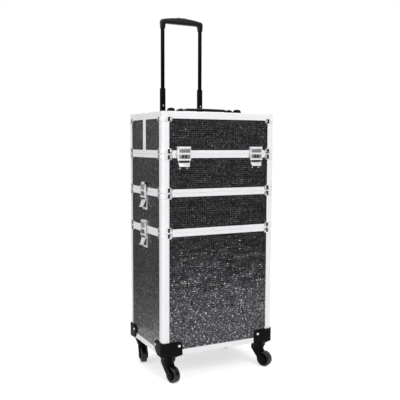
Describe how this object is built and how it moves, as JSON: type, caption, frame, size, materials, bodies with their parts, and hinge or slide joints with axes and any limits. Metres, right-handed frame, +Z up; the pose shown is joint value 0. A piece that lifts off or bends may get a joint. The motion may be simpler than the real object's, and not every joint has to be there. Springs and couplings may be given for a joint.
{
  "type": "rolling makeup case",
  "caption": "Upright rolling makeup case: stacked stone-faced boxes in aluminium frames, split lid, side and front latches, telescopic trolley handle, swivel castors.",
  "frame": {"origin": "on the floor under the middle of the case", "axes": "+Z up, +X to the case's right seen from the front, +Y to the trolley handle at the back"},
  "size_m": [0.3552, 0.2741, 1.011],
  "materials": {
    "stone_panel": "board faced with a tight grid of black cut stones",
    "edging": "satin extruded aluminium with fine lines along it",
    "bright_steel": "bright plated pressed steel",
    "black_plastic": "satin moulded black plastic",
    "black_tube": "black anodised tube",
    "lining": "short black velvet",
    "strap": "black moulded grip",
    "tread": "hard black wheel"
  },
  "bodies": {
    "bottom_case": {"bottom_panels": "stone_panel", "bottom_frame": "edging", "bottom_corners": "bright_steel", "bottom_lining": "lining", "bottom_latch_plates": "bright_steel", "castor_brackets": "black_plastic", "trolley_tubes": "black_tube", "trolley_collars": "black_plastic", "trolley_brackets": "black_plastic"},
    "middle_case": {"middle_panels": "stone_panel", "middle_frame": "edging", "middle_corners": "bright_steel", "middle_lining": "lining", "middle_dividers": "lining", "middle_latch_mounts": "bright_steel"},
    "top_case": {"top_panels": "stone_panel", "top_frame": "edging", "top_corners": "bright_steel", "top_lining": "lining", "top_latch_mounts": "bright_steel", "tray_ledges": "lining", "rear_lid_panels": "stone_panel", "rear_lid_frame": "edging", "rear_lid_corners": "bright_steel", "rear_hinge_leaf": "bright_steel"},
    "front_lid": {"front_lid_panels": "stone_panel", "front_lid_frame": "edging", "front_lid_corners": "bright_steel", "front_hinge_leaf": "bright_steel", "front_hasp_leaves": "bright_steel", "handle_anchors": "black_plastic"},
    "carry_handle": {"carry_handle": "strap"},
    "makeup_tray": {"makeup_tray": "black_plastic"},
    "trolley_mid": {"trolley_mid_tubes": "black_tube"},
    "trolley_inner": {"trolley_inner_tubes": "black_tube", "trolley_grip": "black_plastic"},
    "trolley_button": {"trolley_button": "black_plastic"},
    "hasp_front_left": {"hasp_front_left": "bright_steel"},
    "lever_front_left": {"lever_front_left": "bright_steel"},
    "hasp_front_right": {"hasp_front_right": "bright_steel"},
    "lever_front_right": {"lever_front_right": "bright_steel"},
    "hasp_upper_left": {"hasp_upper_left": "bright_steel"},
    "lever_upper_left": {"lever_upper_left": "bright_steel"},
    "hasp_upper_right": {"hasp_upper_right": "bright_steel"},
    "lever_upper_right": {"lever_upper_right": "bright_steel"},
    "hasp_lower_left": {"hasp_lower_left": "bright_steel"},
    "lever_lower_left": {"lever_lower_left": "bright_steel"},
    "hasp_lower_right": {"hasp_lower_right": "bright_steel"},
    "lever_lower_right": {"lever_lower_right": "bright_steel"},
    "fork_front_left": {"fork_front_left": "black_plastic"},
    "wheel_front_left": {"wheel_front_left": "tread"},
    "fork_front_right": {"fork_front_right": "black_plastic"},
    "wheel_front_right": {"wheel_front_right": "tread"},
    "fork_rear_left": {"fork_rear_left": "black_plastic"},
    "wheel_rear_left": {"wheel_rear_left": "tread"},
    "fork_rear_right": {"fork_rear_right": "black_plastic"},
    "wheel_rear_right": {"wheel_rear_right": "tread"}
  },
  "joints": [
    {"name": "middle_case_lift", "type": "slide", "parent": "bottom_case", "child": "middle_case", "axis": [0, 0, 1], "range_m": [0, 0.15]},
    {"name": "top_case_lift", "type": "slide", "parent": "middle_case", "child": "top_case", "axis": [0, 0, 1], "range_m": [0, 0.15]},
    {"name": "front_lid_hinge", "type": "hinge", "parent": "top_case", "child": "front_lid", "pos_m": [0, 0.005, 0.7252], "axis": [-1, 0, 0], "range_deg": [0, 105]},
    {"name": "carry_handle_lift", "type": "slide", "parent": "front_lid", "child": "carry_handle", "axis": [0, 0, 1], "range_m": [0, 0.008]},
    {"name": "makeup_tray_lift", "type": "slide", "parent": "top_case", "child": "makeup_tray", "axis": [0, 0, 1], "range_m": [0, 0.06]},
    {"name": "trolley_mid_slide", "type": "slide", "parent": "bottom_case", "child": "trolley_mid", "axis": [0, 0, 1], "range_m": [-0.059, 0]},
    {"name": "trolley_inner_slide", "type": "slide", "parent": "trolley_mid", "child": "trolley_inner", "axis": [0, 0, 1], "range_m": [-0.171, 0]},
    {"name": "trolley_button_press", "type": "slide", "parent": "trolley_inner", "child": "trolley_button", "axis": [0, 0, -1], "range_m": [0, 0.0025], "stiffness_N_per_m": 800},
    {"name": "hasp_front_left_hinge", "type": "hinge", "parent": "front_lid", "child": "hasp_front_left", "pos_m": [-0.11, -0.1225, 0.628], "axis": [-1, 0, 0], "range_deg": [0, 110]},
    {"name": "lever_front_left_hinge", "type": "hinge", "parent": "top_case", "child": "lever_front_left", "pos_m": [-0.11, -0.122, 0.591], "axis": [-1, 0, 0], "range_deg": [0, 80]},
    {"name": "hasp_upper_left_hinge", "type": "hinge", "parent": "top_case", "child": "hasp_upper_left", "pos_m": [-0.1745, 0, 0.531], "axis": [0, 1, 0], "range_deg": [0, 110]},
    {"name": "lever_upper_left_hinge", "type": "hinge", "parent": "middle_case", "child": "lever_upper_left", "pos_m": [-0.174, 0, 0.4875], "axis": [0, 1, 0], "range_deg": [0, 80]},
    {"name": "hasp_lower_left_hinge", "type": "hinge", "parent": "middle_case", "child": "hasp_lower_left", "pos_m": [-0.1745, 0, 0.426], "axis": [0, 1, 0], "range_deg": [0, 110]},
    {"name": "lever_lower_left_hinge", "type": "hinge", "parent": "bottom_case", "child": "lever_lower_left", "pos_m": [-0.174, 0, 0.3825], "axis": [0, 1, 0], "range_deg": [0, 80]},
    {"name": "hasp_front_right_hinge", "type": "hinge", "parent": "front_lid", "child": "hasp_front_right", "pos_m": [0.11, -0.1225, 0.628], "axis": [-1, 0, 0], "range_deg": [0, 110]},
    {"name": "lever_front_right_hinge", "type": "hinge", "parent": "top_case", "child": "lever_front_right", "pos_m": [0.11, -0.122, 0.591], "axis": [-1, 0, 0], "range_deg": [0, 80]},
    {"name": "hasp_upper_right_hinge", "type": "hinge", "parent": "top_case", "child": "hasp_upper_right", "pos_m": [0.1745, 0, 0.531], "axis": [0, -1, 0], "range_deg": [0, 110]},
    {"name": "lever_upper_right_hinge", "type": "hinge", "parent": "middle_case", "child": "lever_upper_right", "pos_m": [0.174, 0, 0.4875], "axis": [0, -1, 0], "range_deg": [0, 80]},
    {"name": "hasp_lower_right_hinge", "type": "hinge", "parent": "middle_case", "child": "hasp_lower_right", "pos_m": [0.1745, 0, 0.426], "axis": [0, -1, 0], "range_deg": [0, 110]},
    {"name": "lever_lower_right_hinge", "type": "hinge", "parent": "bottom_case", "child": "lever_lower_right", "pos_m": [0.174, 0, 0.3825], "axis": [0, -1, 0], "range_deg": [0, 80]},
    {"name": "fork_front_left_swivel", "type": "hinge", "parent": "bottom_case", "child": "fork_front_left", "pos_m": [-0.143, -0.093, 0.0605], "axis": [0, 0, 1], "continuous": true},
    {"name": "wheel_front_left_spin", "type": "hinge", "parent": "fork_front_left", "child": "wheel_front_left", "pos_m": [-0.13805, -0.11444, 0.022], "axis": [0.9744, 0.225, 0], "continuous": true},
    {"name": "fork_front_right_swivel", "type": "hinge", "parent": "bottom_case", "child": "fork_front_right", "pos_m": [0.143, -0.093, 0.0605], "axis": [0, 0, 1], "continuous": true},
    {"name": "wheel_front_right_spin", "type": "hinge", "parent": "fork_front_right", "child": "wheel_front_right", "pos_m": [0.1516, -0.11325, 0.022], "axis": [0.9205, 0.3907, 0], "continuous": true},
    {"name": "fork_rear_left_swivel", "type": "hinge", "parent": "bottom_case", "child": "fork_rear_left", "pos_m": [-0.143, 0.093, 0.0605], "axis": [0, 0, 1], "continuous": true},
    {"name": "wheel_rear_left_spin", "type": "hinge", "parent": "fork_rear_left", "child": "wheel_rear_left", "pos_m": [-0.14869, 0.07175, 0.022], "axis": [0.9659, -0.2588, 0], "continuous": true},
    {"name": "fork_rear_right_swivel", "type": "hinge", "parent": "bottom_case", "child": "fork_rear_right", "pos_m": [0.143, 0.093, 0.0605], "axis": [0, 0, 1], "continuous": true},
    {"name": "wheel_rear_right_spin", "type": "hinge", "parent": "fork_rear_right", "child": "wheel_rear_right", "pos_m": [0.12744, 0.07744, 0.022], "axis": [0.7071, -0.7071, 0], "continuous": true}
  ]
}
